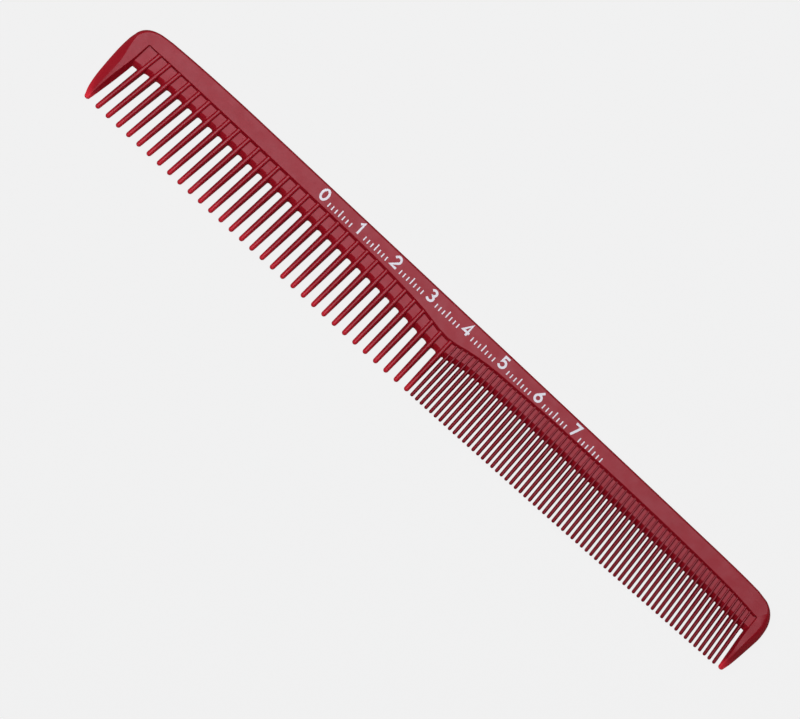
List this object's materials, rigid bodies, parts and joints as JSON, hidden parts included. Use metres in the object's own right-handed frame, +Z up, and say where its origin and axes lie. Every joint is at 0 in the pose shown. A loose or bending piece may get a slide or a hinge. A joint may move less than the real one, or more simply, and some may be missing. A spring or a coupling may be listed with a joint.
{
  "type": "two-pitch styling comb",
  "caption": "Flat one-piece salon cutting comb with a straight spine, a recessed web, wide teeth on one half, fine teeth on the other, and a heavy guard tooth at each end",
  "frame": {"origin": "centre of the bounding box in X and Y, on the flat underside that the comb lies on", "axes": "+X along the comb towards the fine-toothed end, +Y across it towards the back edge of the spine, +Z up through its thickness"},
  "size_m": [0.1778, 0.0211, 0.004],
  "materials": {
    "red_acetal_body": "satin-gloss moulded acetal, deep red, hazy on the flat faces",
    "red_acetal_teeth": "glossy moulded acetal, deep red",
    "white_print": "matt white pad-printed ink"
  },
  "bodies": {
    "root": {"spine": "red_acetal_body", "coarse_end_guard": "red_acetal_body", "fine_end_guard": "red_acetal_body", "coarse_web": "red_acetal_body", "coarse_tooth_01": "red_acetal_teeth", "coarse_tooth_02": "red_acetal_teeth", "coarse_tooth_03": "red_acetal_teeth", "coarse_tooth_04": "red_acetal_teeth", "coarse_tooth_05": "red_acetal_teeth", "coarse_tooth_06": "red_acetal_teeth", "coarse_tooth_07": "red_acetal_teeth", "coarse_tooth_08": "red_acetal_teeth", "coarse_tooth_09": "red_acetal_teeth", "coarse_tooth_10": "red_acetal_teeth", "coarse_tooth_11": "red_acetal_teeth", "coarse_tooth_12": "red_acetal_teeth", "coarse_tooth_13": "red_acetal_teeth", "coarse_tooth_14": "red_acetal_teeth", "coarse_tooth_15": "red_acetal_teeth", "coarse_tooth_16": "red_acetal_teeth", "coarse_tooth_17": "red_acetal_teeth", "coarse_tooth_18": "red_acetal_teeth", "coarse_tooth_19": "red_acetal_teeth", "coarse_tooth_20": "red_acetal_teeth", "coarse_tooth_21": "red_acetal_teeth", "coarse_tooth_22": "red_acetal_teeth", "coarse_tooth_23": "red_acetal_teeth", "coarse_tooth_24": "red_acetal_teeth", "coarse_tooth_25": "red_acetal_teeth", "coarse_tooth_26": "red_acetal_teeth", "coarse_tooth_27": "red_acetal_teeth", "coarse_tooth_28": "red_acetal_teeth", "coarse_tooth_29": "red_acetal_teeth", "coarse_tooth_30": "red_acetal_teeth", "coarse_tooth_31": "red_acetal_teeth", "fine_teeth_bank_01": "red_acetal_teeth", "fine_teeth_bank_02": "red_acetal_teeth", "fine_teeth_bank_03": "red_acetal_teeth", "fine_teeth_bank_04": "red_acetal_teeth", "fine_teeth_bank_05": "red_acetal_teeth", "fine_teeth_bank_06": "red_acetal_teeth", "fine_teeth_bank_07": "red_acetal_teeth", "fine_teeth_bank_08": "red_acetal_teeth", "fine_teeth_bank_09": "red_acetal_teeth", "fine_teeth_bank_10": "red_acetal_teeth", "fine_teeth_bank_11": "red_acetal_teeth", "fine_teeth_bank_12": "red_acetal_teeth", "fine_teeth_bank_13": "red_acetal_teeth"}
  },
  "joints": []
}
